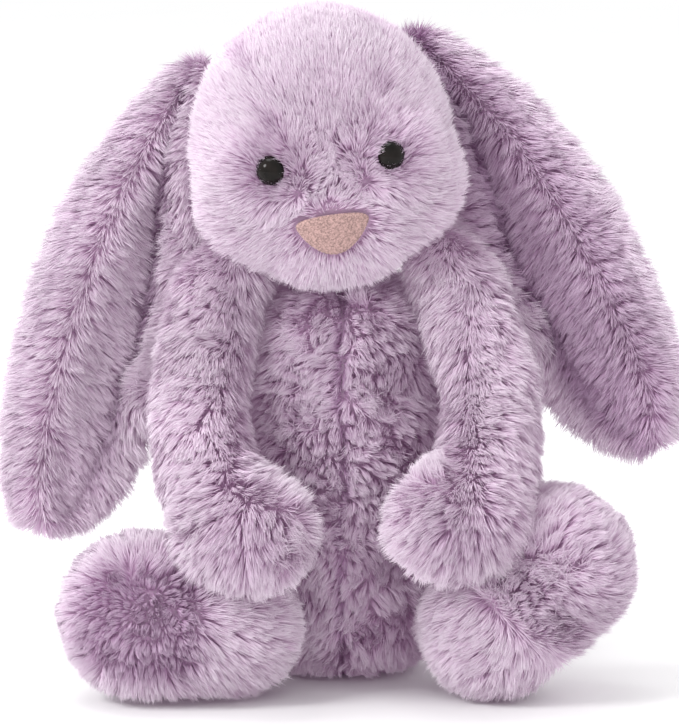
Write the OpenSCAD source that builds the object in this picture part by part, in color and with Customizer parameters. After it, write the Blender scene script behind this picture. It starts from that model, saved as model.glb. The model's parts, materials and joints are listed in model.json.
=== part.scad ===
// Stuffed lop-eared rabbit, sitting. Millimetres, +Z up, face towards -Y, left side at +X.
// Each fur panel is a shell as thick as its backing and pressed pile. The filling is a solid inside it.

/* [Fabric] */
// Thickness of a fur panel: backing cloth and pressed pile
skin_t = 4; // [2:0.5:5]
// Free gap between pieces that move against each other
free_gap = 0.6; // [0.4:0.1:1]
// Thickness of sewing thread
thread_d = 0.9; // [0.5:0.1:1.2]

/* [Body] */
// Height of the body, from the seat to the neck
body_h = 132; // [124:1:136]
// Largest radius of the body, at the belly
belly_r = 37; // [32:1:39]
// Height of the belly's widest place above the seat
belly_z = 34; // [30:1:38]
// Radius of the body at the neck
neck_r = 20; // [16:1:21]
// Diameter of the tail
tail_d = 30; // [22:1:34]

/* [Head] */
// Radius of the head, seen from the side
head_r = 43; // [40:0.5:44]
// Half of the head's width
head_half_w = 42; // [38:0.5:43]
// Width of the centre gusset
gusset_w = 26; // [20:1:30]
// Sideways lean of the head, in degrees
head_lean = 7; // [0:1:9]
// Turn of the face to its left, in degrees
head_turn = 4; // [0:1:6]
// Diameter of an eye bead
eye_d = 10; // [8:0.5:11]
// Distance between the eyes
eye_span = 37; // [34:1:42]
// Width of the nose patch
nose_w = 24; // [18:1:28]

/* [Ears] */
// Length of an ear
ear_len = 161; // [145:1:165]
// Width of an ear from its middle line to its outer edge
ear_outer_w = 25; // [20:1:26]
// Width of an ear from its middle line to its inner edge
ear_inner_w = 21; // [14:1:22]
// Thickness of one of the ear's two layers
ear_layer_t = 4; // [3:0.5:5]

/* [Arms] */
// Radius of the arm at the shoulder
arm_r = 11; // [9:0.5:12]
// Radius of the paw
paw_r = 16; // [13:0.5:17]

/* [Legs] */
// Half of the foot's length
foot_half_len = 37; // [33:1:38]
// Radius of the foot across its length
foot_r = 24; // [21:0.5:25]
// Radius of the thigh
thigh_r = 15; // [12:0.5:16]

/* [Hidden] */

LILAC = "#c9a3cc";
PALE_LILAC = "#d8bcda";
DEEP_LILAC = "#b48ab8";
SUEDE_PINK = "#d3a3a6";
FLEECE = "#f2efe8";
THREAD = "#a781ab";
BEAD_BLACK = "#15120f";

$fn = 48;
ARC_STEPS = 20;         // straight stretches in a curved outline
BIG = 400;              // longer than the toy

// The middle of everything stands over the origin
centre_shift = [1.1, 3.5, 0];

seat_round = 1.2;       // how far below the seat the belly's curve would close, over belly_z
chest_fullness = 0.42;  // below 1 keeps the chest wide

neck_gap = 3.4;
head_at = [-7, -5, body_h + neck_gap + neck_gap + head_r];
neck_at = [-2, -3, body_h + neck_gap];

eye_dir = [eye_span / 2, -36, -2];
nose_dir = [0, -35, -25];
shank_r = 1.9;
shank_len = 12;
washer_r = 7.5;
washer_t = 1.2;
nose_t = 2.4;

// Places on the right side and on the left side differ a little, because the toy sits askew
shoulder_r_at = [-42, -13, 131];
paw_r_at = [-36, -58, 60];
shoulder_l_at = [39, -13, 133];
paw_l_at = [42, -59, 64];

hip_r_at = [-43.4, -33, 22];
foot_r_at = [-57.5, -47, 24.8];
foot_r_turn = [0, 6, 8];      // rise of the toes about Y, turn about Z
hip_l_at = [42.4, -32.4, 23];
foot_l_at = [64, -46, 31.8];
foot_l_turn = [0, -45, -8];

ear_root = [38, 22, 29];      // from the head's centre, on the left side
ear_r_hang = [-4, -21, -16];  // lean back, swing outwards, turn to the front
ear_l_hang = [-4, -32, -18];

// ---------- outlines ----------

// Radius of the body at a height, with its surface moved in by an inset
function body_r(z, inset) =
    let (top = body_h,
         below = sqrt(max(0, 1 - pow((belly_z - z) / (belly_z * seat_round), 2))),
         above = 0.5 * (1 + cos(180 * min(1, max(0, (z - belly_z) / (top - belly_z))))))
    (z < belly_z ? belly_r * below : neck_r + (belly_r - neck_r) * pow(above, chest_fullness)) - inset;

// Half outline of the body, from the middle of the seat to the middle of the neck
module body_outline(inset) {
    low = inset;
    high = body_h - inset;
    polygon(concat(
        [[0, low]],
        [for (i = [0:ARC_STEPS]) let (z = low + (high - low) * i / ARC_STEPS) [body_r(z, inset), z]],
        [[0, high]]));
}

// Half outline of an egg that stands on its long axis
module egg_outline(across, along) {
    polygon([for (i = [0:ARC_STEPS]) let (a = -90 + 180 * i / ARC_STEPS)
        [i == 0 || i == ARC_STEPS ? 0 : across * cos(a), along * sin(a)]]);
}

// Half outline of a limb that hangs down: a small ball at the top, a larger one at the end
module limb_outline(top_r, end_r, length) {
    slope = asin((end_r - top_r) / length);
    polygon(concat(
        [for (i = [0:ARC_STEPS / 2]) let (a = -90 + (90 + slope) * i / (ARC_STEPS / 2))
            [i == 0 ? 0 : end_r * cos(a), -length + end_r * sin(a)]],
        [for (i = [0:ARC_STEPS / 2]) let (a = slope + (90 - slope) * i / (ARC_STEPS / 2))
            [i == ARC_STEPS / 2 ? 0 : top_r * cos(a), top_r * sin(a)]]));
}

// Distance from an ear's middle line to its outer edge, at a part of its length from 0, the root, to 1, the tip
function ear_outer(t) =
    let (full_at = 0.5, root_reach = 0.53)
    ear_outer_w * sqrt(max(0, 1 - pow((t - full_at) / (t < full_at ? root_reach : 1 - full_at), 2)));

// The same for its inner edge, which is narrow beside the head and full near the tip
function ear_inner(t) =
    let (full_at = 0.78, root = 0.16)
    ear_inner_w * (t < full_at
        ? root + (1 - root) * (1 - cos(180 * t / full_at)) / 2
        : sqrt(max(0, 1 - pow((t - full_at) / (1 - full_at), 2))));

// Outline of the left ear, which hangs down from its root with its outer edge towards +X
module ear_outline() {
    function part(i) = 1 - pow(1 - i / ARC_STEPS, 2);   // closer together towards the tip
    polygon(concat(
        [for (i = [0:ARC_STEPS]) [ear_outer(part(i)), -ear_len * part(i)]],
        [for (i = [ARC_STEPS - 1:-1:0]) [-ear_inner(part(i)), -ear_len * part(i)]]));
}

// ---------- placing ----------

module hung_along(v) {
    // Turns what hangs down along -Z so that it runs along v
    rotate([0, 0, atan2(v[1], v[0])]) rotate([0, acos(v[2] / norm(v)) - 180, 0]) children();
}

module half(side) {
    intersection() {
        children();
        translate([side > 0 ? 0 : -BIG, -BIG / 2, -BIG / 2]) cube(BIG);
    }
}

module in_head() {
    translate(head_at) rotate([0, -head_lean, head_turn]) children();
}

module facing(dir) {
    // +Z of the children points out of the head along dir
    flat = norm([dir[0], dir[1]]);
    rotate([0, 0, atan2(dir[1], dir[0])]) rotate([0, 90 - atan2(dir[2], flat), 0]) children();
}

function head_surface(dir) =
    // Distance from the head's centre to its surface along dir
    norm(dir) / sqrt(pow(dir[0] / head_half_w, 2) + (pow(dir[1], 2) + pow(dir[2], 2)) / pow(head_r, 2));

function mirrored(dir) = [-dir[0], dir[1], dir[2]];

module ring(r, d) {
    rotate_extrude() translate([r, 0]) circle(d = d, $fn = 16);
}

// ---------- body ----------

module body_solid(inset) {
    rotate_extrude() body_outline(inset);
}

module body_panel(side) {
    half(side) difference() {
        body_solid(0);
        body_solid(skin_t);
    }
}

pouch_r = 20;
pouch_z = 25;
pouch_t = 1;

module body_filling() {
    difference() {
        body_solid(skin_t);
        translate([0, 0, pouch_z]) sphere(pouch_r);
    }
}

module seat_pouch() {
    translate([0, 0, pouch_z]) difference() {
        sphere(pouch_r);
        sphere(pouch_r - pouch_t);
    }
}

module seat_pellets() {
    translate([0, 0, pouch_z]) sphere(pouch_r - pouch_t);
}

module back_closing_seam() {
    first_z = 48;
    pitch = 4;
    for (i = [0:7]) let (z = first_z + pitch * i)
        translate([-2, body_r(z, 0) + thread_d, z]) rotate([0, 90, 0]) cylinder(d = thread_d, h = 4);
}

tail_at = [0, 53, 30];

module tail_fur() {
    translate(tail_at) difference() {
        sphere(d = tail_d);
        sphere(d = tail_d - 2 * skin_t);
    }
}

module tail_filling() {
    translate(tail_at) sphere(d = tail_d - 2 * skin_t);
}

module tail_seam() {
    tail_seam_r = 7;
    translate([0, body_r(tail_at[2], 0) + 1, tail_at[2]]) rotate([90, 0, 0]) ring(tail_seam_r, thread_d);
}

module neck_gather() {
    gather_r = 9;
    gather_h = 2.6;
    translate([neck_at[0], neck_at[1], body_h + free_gap]) cylinder(r = gather_r, h = gather_h);
}

// ---------- head ----------

module head_solid(inset) {
    rotate([0, 90, 0]) rotate_extrude() egg_outline(head_r - inset, head_half_w - inset);
}

module shank_hole(r) {
    for (dir = [eye_dir, mirrored(eye_dir)])
        facing(dir) cylinder(r = r, h = BIG / 4);
}

module head_panel(from_x, to_x) {
    in_head() intersection() {
        difference() {
            head_solid(0);
            head_solid(skin_t);
            shank_hole(shank_r + 0.05);
        }
        translate([from_x, -BIG / 2, -BIG / 2]) cube([to_x - from_x, BIG, BIG]);
    }
}

module head_filling() {
    pocket_r = washer_r + 0.4;
    pocket_depth = shank_len;
    in_head() difference() {
        head_solid(skin_t);
        for (dir = [eye_dir, mirrored(eye_dir)])
            facing(dir) translate([0, 0, head_surface(dir) - pocket_depth]) cylinder(r = pocket_r, h = BIG / 4);
    }
}

module eye(dir) {
    // A dome with a flat back on a straight shank
    dome_h = 4.2;
    ball_r = (pow(eye_d / 2, 2) + pow(dome_h, 2)) / (2 * dome_h);
    sits = 1.0;
    in_head() facing(dir) translate([0, 0, head_surface(dir) + sits]) {
        intersection() {
            translate([0, 0, dome_h - ball_r]) sphere(ball_r);
            cylinder(r = eye_d, h = dome_h + 1);
        }
        translate([0, 0, -shank_len]) cylinder(r = shank_r, h = shank_len + 0.5);
    }
}

module eye_washer(dir) {
    in_head() facing(dir) translate([0, 0, head_surface(dir) - skin_t - washer_t - 1.6]) difference() {
        cylinder(r = washer_r, h = washer_t);
        translate([0, 0, -1]) cylinder(r = shank_r, h = washer_t + 2);
    }
}

module nose_patch() {
    // A rounded triangle that points down, laid on the muzzle
    corner_r = 4.5;
    rise = 4;
    drop = 5;
    side_x = nose_w / 2 - corner_r;
    in_head() difference() {
        facing(nose_dir) rotate([0, 0, -90]) translate([0, 0, head_surface(nose_dir) - 8]) linear_extrude(8 + nose_t)
            hull() {
                translate([-side_x, -rise]) circle(corner_r);
                translate([side_x, -rise]) circle(corner_r);
                translate([0, drop]) circle(corner_r);
            }
        head_solid(-0.1);
    }
}

// ---------- ears ----------

module ear_place(side) {
    hang = side > 0 ? ear_l_hang : ear_r_hang;
    in_head() translate([side * ear_root[0], ear_root[1], ear_root[2]]) rotate([0, head_lean, -head_turn])
        mirror([side > 0 ? 0 : 1, 0, 0]) rotate(hang) children();
}

module ear_layer(side, from_y) {
    ear_place(side) translate([0, from_y + ear_layer_t, 0]) rotate([90, 0, 0])
        linear_extrude(ear_layer_t) ear_outline();
}

module ear_seam(side) {
    dir = [side * ear_root[0], ear_root[1], ear_root[2]];
    in_head() facing(dir) translate([0, 0, head_surface(dir) + thread_d]) ring(4.5, thread_d);
}

// ---------- arms ----------

module arm_place(side) {
    start = side > 0 ? shoulder_l_at : shoulder_r_at;
    end = side > 0 ? paw_l_at : paw_r_at;
    translate(start) hung_along(end - start) children();
}

function arm_len(side) = side > 0 ? norm(paw_l_at - shoulder_l_at) : norm(paw_r_at - shoulder_r_at);

module arm_solid(side, inset) {
    rotate_extrude() limb_outline(arm_r - inset, paw_r - inset, arm_len(side));
}

module arm_panel(side, outer) {
    arm_place(side) rotate([0, 0, 90]) half(outer ? side : -side) difference() {
        arm_solid(side, 0);
        arm_solid(side, skin_t);
    }
}

module arm_filling(side) {
    arm_place(side) arm_solid(side, skin_t);
}

module shoulder_seam(side) {
    // Thread ring on the body's side, where the arm is sewn on
    ring_r = 4;
    z = (side > 0 ? shoulder_l_at : shoulder_r_at)[2] - 6;
    translate([side * (body_r(z - ring_r, 0) + thread_d), 0, z]) rotate([0, 90, 0]) ring(ring_r, thread_d);
}

// ---------- legs ----------

module foot_place(side) {
    translate(side > 0 ? foot_l_at : foot_r_at) rotate(side > 0 ? foot_l_turn : foot_r_turn) children();
}

module leg_solid(side, inset) {
    hip = side > 0 ? hip_l_at : hip_r_at;
    foot = side > 0 ? foot_l_at : foot_r_at;
    foot_place(side) rotate([0, 90, 0]) rotate_extrude() egg_outline(foot_r - inset, foot_half_len - inset);
    translate(hip) hung_along(foot - hip) rotate_extrude()
        limb_outline(thigh_r - inset, thigh_r + 2 - inset, norm(foot - hip));
}

sole_depth = 14;        // from the foot's axis to the plane where the sole is sewn on

module sole_side(side) {
    foot_place(side) translate([-BIG / 2, -BIG - sole_depth, -BIG / 2]) cube(BIG);
}

module leg_shell(side) {
    difference() {
        leg_solid(side, 0);
        leg_solid(side, skin_t);
    }
}

module leg_fur(side) {
    difference() {
        leg_shell(side);
        sole_side(side);
    }
}

module foot_sole(side) {
    intersection() {
        leg_shell(side);
        sole_side(side);
    }
}

foot_pouch_r = 11;

module leg_filling(side) {
    difference() {
        leg_solid(side, skin_t);
        foot_place(side) sphere(foot_pouch_r);
    }
}

module foot_pouch(side) {
    foot_place(side) sphere(foot_pouch_r);
}

module hip_seam(side) {
    // Thread ring on the body's side, where the leg is sewn on
    ring_r = 4;
    at = side > 0 ? hip_l_at : hip_r_at;
    widest = max(body_r(at[2] + ring_r, 0), body_r(at[2], 0));
    rotate([0, 0, atan2(at[1], at[0])]) translate([widest + thread_d * 0.75, 0, at[2]]) rotate([0, 90, 0])
        ring(ring_r, thread_d);
}

// ---------- the nodes ----------

module placed() {
    translate(centre_shift) children();
}

placed() color(LILAC) body_panel(1);  // body_panel_left
placed() color(LILAC) body_panel(-1);  // body_panel_right
placed() color(FLEECE) body_filling();
placed() color(FLEECE) seat_pouch();
placed() color(FLEECE) seat_pellets();
placed() color(THREAD) back_closing_seam();
placed() color(PALE_LILAC) tail_fur();
placed() color(FLEECE) tail_filling();
placed() color(THREAD) tail_seam();
placed() color(THREAD) neck_gather();
placed() color(LILAC) head_panel(-gusset_w / 2, gusset_w / 2);  // head_gusset
placed() color(LILAC) head_panel(gusset_w / 2, BIG / 2);  // head_side_left
placed() color(LILAC) head_panel(-BIG / 2, -gusset_w / 2);  // head_side_right
placed() color(FLEECE) head_filling();
placed() color(SUEDE_PINK) nose_patch();
placed() color(BEAD_BLACK) eye(eye_dir);  // eye_left
placed() color(BEAD_BLACK) eye(mirrored(eye_dir));  // eye_right
placed() color(FLEECE) eye_washer(eye_dir);  // eye_washer_left
placed() color(FLEECE) eye_washer(mirrored(eye_dir));  // eye_washer_right
placed() color(THREAD) ear_seam(1);  // ear_seam_left
placed() color(THREAD) ear_seam(-1);  // ear_seam_right
placed() color(LILAC) ear_layer(1, 0);  // ear_back_left
placed() color(DEEP_LILAC) ear_layer(1, -ear_layer_t);  // ear_front_left
placed() color(LILAC) ear_layer(-1, 0);  // ear_back_right
placed() color(DEEP_LILAC) ear_layer(-1, -ear_layer_t);  // ear_front_right
placed() color(LILAC) arm_panel(1, true);  // arm_outer_left
placed() color(LILAC) arm_panel(1, false);  // arm_inner_left
placed() color(FLEECE) arm_filling(1);  // arm_filling_left
placed() color(THREAD) shoulder_seam(1);  // shoulder_seam_left
placed() color(LILAC) arm_panel(-1, true);  // arm_outer_right
placed() color(LILAC) arm_panel(-1, false);  // arm_inner_right
placed() color(FLEECE) arm_filling(-1);  // arm_filling_right
placed() color(THREAD) shoulder_seam(-1);  // shoulder_seam_right
placed() color(PALE_LILAC) leg_fur(1);  // leg_fur_left
placed() color(DEEP_LILAC) foot_sole(1);  // foot_sole_left
placed() color(FLEECE) leg_filling(1);  // leg_filling_left
placed() color(FLEECE) foot_pouch(1);  // foot_pouch_left
placed() color(THREAD) hip_seam(1);  // hip_seam_left
placed() color(PALE_LILAC) leg_fur(-1);  // leg_fur_right
placed() color(DEEP_LILAC) foot_sole(-1);  // foot_sole_right
placed() color(FLEECE) leg_filling(-1);  // leg_filling_right
placed() color(FLEECE) foot_pouch(-1);  // foot_pouch_right
placed() color(THREAD) hip_seam(-1);  // hip_seam_right
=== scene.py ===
"""Sitting plush rabbit: stuffed skins, long fur pile, bead eyes and a suede nose, on a pale studio floor."""

import json
import math

import bmesh
import bpy
import numpy as np
from mathutils import Euler, Matrix, Vector


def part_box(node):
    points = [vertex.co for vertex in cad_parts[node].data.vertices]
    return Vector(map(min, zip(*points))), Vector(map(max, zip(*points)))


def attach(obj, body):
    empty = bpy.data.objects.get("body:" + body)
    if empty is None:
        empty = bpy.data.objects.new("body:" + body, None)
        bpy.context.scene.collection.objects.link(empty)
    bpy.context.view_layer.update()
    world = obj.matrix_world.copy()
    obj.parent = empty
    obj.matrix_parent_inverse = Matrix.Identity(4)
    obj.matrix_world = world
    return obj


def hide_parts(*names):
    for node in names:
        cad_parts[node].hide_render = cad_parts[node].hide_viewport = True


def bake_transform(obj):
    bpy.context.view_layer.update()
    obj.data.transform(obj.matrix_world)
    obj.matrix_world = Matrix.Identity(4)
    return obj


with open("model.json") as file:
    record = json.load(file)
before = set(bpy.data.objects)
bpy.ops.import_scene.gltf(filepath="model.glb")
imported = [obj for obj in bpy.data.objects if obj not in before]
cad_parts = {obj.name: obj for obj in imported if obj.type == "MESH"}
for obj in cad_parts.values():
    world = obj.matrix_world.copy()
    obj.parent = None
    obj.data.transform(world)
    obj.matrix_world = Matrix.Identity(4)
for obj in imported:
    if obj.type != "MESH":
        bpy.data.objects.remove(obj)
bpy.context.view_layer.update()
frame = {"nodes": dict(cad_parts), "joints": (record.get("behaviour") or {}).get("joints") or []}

bl_info = {
    "name": "Plush rabbit",
    "version": (1, 0, 0),
    "blender": (4, 5, 0),
    "location": "3D View > Sidebar > Plush",
    "description": "Builds a sitting plush rabbit on its packed frame",
    "category": "Object",
}

MM = 0.001
TINY = 1e-9  # keeps a division away from zero
RNG_SEED = 7
SIDES = (("left", 1.0), ("right", -1.0))


# ---------------------------------------------------------------- places taken from the frame


def middle(node):
    """The middle of a node's box."""
    low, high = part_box(node)
    return (low + high) / 2


def joint_place(name):
    """The point that a joint turns about."""
    joint = next(j for j in frame["joints"] if j["name"] == name)
    return Vector(joint["pos_m"])


def head_frame():
    """The head's middle and its own axes: x to its left, y to its back, z up."""
    centre = middle("head_filling")
    across = (middle("eye_left") - middle("eye_right")).normalized()
    ahead = (middle("eye_left") + middle("eye_right")) / 2 - centre
    ahead -= across * ahead.dot(across)
    back = -ahead.normalized()
    eye_line_below = math.radians(3.2)
    turn = Matrix.Rotation(-eye_line_below, 3, across)
    back = turn @ back
    return centre, Matrix((across, back, across.cross(back))).transposed()


HEAD_AT, HEAD_AXES = head_frame()
HEAD_RADII = Vector((39.0, 38.5, 40.5)) * MM


def on_head(x, y, z):
    """A point given in the head's own axes, in millimetres."""
    return HEAD_AT + HEAD_AXES @ Vector((x, y, z)) * MM


# ---------------------------------------------------------------- settings that a user would change


class PlushSettings(bpy.types.PropertyGroup):
    """Sizes and colours of the plush rabbit."""

    pile_length: bpy.props.FloatProperty(
        name="Pile length", description="Length of the fur", default=9.5 * MM, min=2 * MM, max=20 * MM,
        unit="LENGTH", subtype="DISTANCE")
    strand_width: bpy.props.FloatProperty(
        name="Strand width", description="Width of one strand at its root", default=0.32 * MM,
        min=0.1 * MM, max=1.0 * MM, unit="LENGTH", subtype="DISTANCE")
    strands_per_mm2: bpy.props.FloatProperty(
        name="Strands per square millimetre", description="How closely the strands stand", default=6.9,
        min=0.2, max=9.0)
    tuft_size: bpy.props.FloatProperty(
        name="Tuft size", description="Distance between the tufts that the strands gather into",
        default=3.6 * MM, min=1 * MM, max=10 * MM, unit="LENGTH", subtype="DISTANCE")
    root_colour: bpy.props.FloatVectorProperty(
        name="Root colour", description="Colour deep in the pile", default=(0.60, 0.37, 0.57),
        size=3, min=0.0, max=1.0, subtype="COLOR")
    body_colour: bpy.props.FloatVectorProperty(
        name="Pile colour", description="Colour along the strands", default=(0.66, 0.49, 0.64),
        size=3, min=0.0, max=1.0, subtype="COLOR")
    tip_colour: bpy.props.FloatVectorProperty(
        name="Tip colour", description="Colour of the strand tips", default=(0.79, 0.72, 0.785),
        size=3, min=0.0, max=1.0, subtype="COLOR")
    nose_colour: bpy.props.FloatVectorProperty(
        name="Nose colour", description="Colour of the suede nose", default=(0.45, 0.285, 0.265),
        size=3, min=0.0, max=1.0, subtype="COLOR")


def settings():
    """The values above, as the user left them."""
    return bpy.context.scene.plush_settings


# ---------------------------------------------------------------- material building blocks


# Sockets of a colour mix node.
MIX_FACTOR, MIX_FIRST, MIX_SECOND, MIX_RESULT = 0, 6, 7, 2


def new_material(name):
    """A material with a Principled shader, with its node tree and its shader."""
    material = bpy.data.materials.new(name)
    material.use_nodes = True
    tree = material.node_tree
    shader = next(n for n in tree.nodes if n.type == "BSDF_PRINCIPLED")
    return material, tree, shader


def add_node(tree, kind, **values):
    """A node with its properties and input values set by name."""
    node = tree.nodes.new(kind)
    for name, value in values.items():
        if name in node.inputs:
            node.inputs[name].default_value = value
        else:
            setattr(node, name, value)
    return node


def set_inputs(node, **values):
    """Sets input values by name. An underscore in a name stands for a space."""
    for name, value in values.items():
        node.inputs[name.replace("_", " ")].default_value = value


def texture(tree, kind, **values):
    """A texture that reads the object's own coordinates."""
    place = tree.nodes.new("ShaderNodeTexCoord")
    node = add_node(tree, kind, **values)
    tree.links.new(place.outputs["Object"], node.inputs["Vector"])
    return node


def ramp(tree, stops, source=None):
    """A colour ramp with the given (position, colour) stops, read by source."""
    node = tree.nodes.new("ShaderNodeValToRGB")
    elements = node.color_ramp.elements
    while len(elements) < len(stops):
        elements.new(0.5)
    for element, (place, colour) in zip(elements, stops):
        element.position = place
        element.color = (*colour, 1.0)
    if source is not None:
        tree.links.new(source, node.inputs[0])
    return node


def add_bump(tree, shader, height, strength, distance):
    """Fine relief from a texture's value. The distance is in metres."""
    bump = add_node(tree, "ShaderNodeBump", Strength=strength, Distance=distance)
    tree.links.new(height, bump.inputs["Height"])
    tree.links.new(bump.outputs["Normal"], shader.inputs["Normal"])


def map_range(tree, source, **values):
    """A value spread from one range to another."""
    node = tree.nodes.new("ShaderNodeMapRange")
    set_inputs(node, **values)
    tree.links.new(source, node.inputs["Value"])
    return node.outputs["Result"]


def mix_colours(tree, blend, factor, first, second):
    """Mixes two colours. Each of the three is a socket or a value."""
    node = add_node(tree, "ShaderNodeMix", data_type="RGBA", blend_type=blend)
    for socket, value in zip((MIX_FACTOR, MIX_FIRST, MIX_SECOND), (factor, first, second)):
        if isinstance(value, bpy.types.NodeSocket):
            tree.links.new(value, node.inputs[socket])
        else:
            node.inputs[socket].default_value = value
    return node.outputs[MIX_RESULT]


def multiply(colour, factor):
    """A lighter or darker colour."""
    return tuple(min(1.0, c * factor) for c in colour)


def pile_colour_group():
    """Colour of fur: deep at the roots, pale at the tips, with uneven dye and strands that differ.
    A Depth above 0 deepens the colour, and one below 0 moves it to the tip colour."""
    group = bpy.data.node_groups.get("Pile colour")
    if group:
        return group
    s = settings()
    group = bpy.data.node_groups.new("Pile colour", "ShaderNodeTree")
    for name, default in (("Reach", 0.5), ("Strand", 0.5), ("Depth", 0.0)):
        socket = group.interface.new_socket(name, in_out="INPUT", socket_type="NodeSocketFloat")
        socket.default_value = default
    group.interface.new_socket("Color", in_out="OUTPUT", socket_type="NodeSocketColor")
    into = group.nodes.new("NodeGroupInput")
    out = group.nodes.new("NodeGroupOutput")
    link = group.links.new

    strand_shift = 0.22
    shifted = add_node(group, "ShaderNodeMath", operation="MULTIPLY_ADD")
    link(into.outputs["Strand"], shifted.inputs[0])
    shifted.inputs[1].default_value = strand_shift
    link(into.outputs["Reach"], shifted.inputs[2])
    centred = add_node(group, "ShaderNodeMath", operation="SUBTRACT", use_clamp=True)
    link(shifted.outputs[0], centred.inputs[0])
    centred.inputs[1].default_value = strand_shift / 2
    stops = ((0.0, s.root_colour), (0.42, s.body_colour), (1.0, s.tip_colour))
    along = ramp(group, stops, centred.outputs[0])

    uneven = texture(group, "ShaderNodeTexNoise", Scale=38.0, Detail=3.0)
    brightness = map_range(group, uneven.outputs["Fac"], From_Min=0.3, From_Max=0.7, To_Min=0.93, To_Max=1.06)
    dye = add_node(group, "ShaderNodeHueSaturation")
    link(brightness, dye.inputs["Value"])
    link(along.outputs["Color"], dye.inputs["Color"])

    # The pieces set Depth mostly for painted shade, which deepens the colour towards this tint, and below 0
    # for painted light, which pales it towards the tip colour.
    deep_tint = (0.62, 0.48, 0.62, 1.0)
    deeper = mix_colours(group, "MULTIPLY", into.outputs["Depth"], dye.outputs["Color"], deep_tint)
    paler_by = add_node(group, "ShaderNodeMath", operation="MULTIPLY", use_clamp=True)
    link(into.outputs["Depth"], paler_by.inputs[0])
    paler_by.inputs[1].default_value = -1.0
    paler = mix_colours(group, "MIX", paler_by.outputs[0], deeper, (*s.tip_colour, 1.0))
    link(paler, out.inputs["Color"])
    return group


def fur_material():
    """Long plush pile, coloured along each strand."""
    material = bpy.data.materials.get("Lilac pile")
    if material:
        return material
    material, tree, shader = new_material("Lilac pile")
    link = tree.links.new
    colour = tree.nodes.new("ShaderNodeGroup")
    colour.node_tree = pile_colour_group()
    for name in ("Reach", "Strand", "Depth"):
        attribute = add_node(tree, "ShaderNodeAttribute", attribute_name=name.lower())
        link(attribute.outputs["Fac"], colour.inputs[name])
    link(colour.outputs["Color"], shader.inputs["Base Color"])
    # painted light: a faint glow in the pile's colour stands in for light passing through the fibres
    light_through_fibres = (1.0, 0.78, 0.97, 1.0)
    glow = mix_colours(tree, "MULTIPLY", 1.0, colour.outputs["Color"], light_through_fibres)
    link(glow, shader.inputs["Emission Color"])
    set_inputs(shader, Emission_Strength=0.05, Roughness=0.78, Specular_IOR_Level=0.15)
    set_inputs(shader, Sheen_Weight=0.2, Sheen_Roughness=0.4, Sheen_Tint=(0.95, 0.86, 0.96, 1.0))
    return material


def backing_material():
    """Knitted backing cloth under the pile."""
    material = bpy.data.materials.get("Pile backing")
    if material:
        return material
    s = settings()
    material, tree, shader = new_material("Pile backing")
    stitches = texture(tree, "ShaderNodeTexVoronoi", Scale=900.0)
    stops = ((0.0, multiply(s.body_colour, 0.75)), (1.0, multiply(s.root_colour, 0.9)))
    cloth = ramp(tree, stops, stitches.outputs["Distance"])
    tree.links.new(cloth.outputs["Color"], shader.inputs["Base Color"])
    set_inputs(shader, Roughness=0.9)
    return material


# ---------------------------------------------------------------- stuffed skins


def apply_modifiers(piece):
    """Makes the piece's mesh what its modifiers show, and takes them off."""
    graph = bpy.context.evaluated_depsgraph_get()
    shown = bpy.data.meshes.new_from_object(piece.evaluated_get(graph))
    plain = piece.data
    piece.modifiers.clear()
    piece.data = shown
    bpy.data.meshes.remove(plain)


def place_piece(name, shape):
    """Turns a bmesh into an object in the scene."""
    mesh = bpy.data.meshes.new(name)
    shape.to_mesh(mesh)
    shape.free()
    piece = bpy.data.objects.new(name, mesh)
    bpy.context.scene.collection.objects.link(piece)
    return piece


def add_ball(shape, at, radii, turn=None):
    """An ellipsoid in the bmesh. Radii are in metres, along the axes of turn."""
    matrix = Matrix.Translation(at)
    if turn is not None:
        matrix = matrix @ turn.to_4x4()
    matrix = matrix @ Matrix.Diagonal((*radii, 1.0))
    bmesh.ops.create_icosphere(shape, subdivisions=3, radius=1.0, matrix=matrix)


def add_limb(shape, points, radii, balls=7):
    """Balls along a smooth path, close enough to make one limb when they are joined."""
    count = len(points) - 1
    for i in range(count):
        for k in range(balls):
            part = k / balls
            at = points[i].lerp(points[i + 1], part)
            radius = radii[i] + (radii[i + 1] - radii[i]) * part
            add_ball(shape, at, (radius, radius, radius))
    add_ball(shape, points[-1], (radii[-1],) * 3)


def sew_and_stuff(name, shape, most, held=None, voxel=4.0 * MM, floor=0.0):
    """Joins the balls into one skin, then stuffs it by cloth simulation, by no more than most.
    held(point) gives 1 where a seam holds the skin and 0 where it is free."""
    piece = place_piece(name, shape)
    joined = piece.modifiers.new("Joined", "REMESH")
    joined.mode = "VOXEL"
    joined.voxel_size = voxel
    smooth = piece.modifiers.new("Smooth", "SMOOTH")
    smooth.iterations = 4
    apply_modifiers(piece)
    before = points_of(piece.data)
    pins = piece.vertex_groups.new(name="seam")
    for i, at in enumerate(before):
        pins.add([i], held(at) if held else 0.0, "REPLACE")
    after = before
    stuff(piece)
    move = points_of(piece.data) - before
    length = np.linalg.norm(move, axis=1, keepdims=True)
    after = before + move * np.minimum(1.0, most / np.maximum(length, TINY))
    after[:, 2] = np.maximum(after[:, 2], floor)
    write_points(piece.data, after)
    rounder = piece.modifiers.new("Rounder", "SUBSURF")
    rounder.levels = rounder.render_levels = 1
    apply_modifiers(piece)
    piece.vertex_groups.clear()
    piece.data.shade_smooth()
    piece.data.materials.append(backing_material())
    return piece


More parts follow.
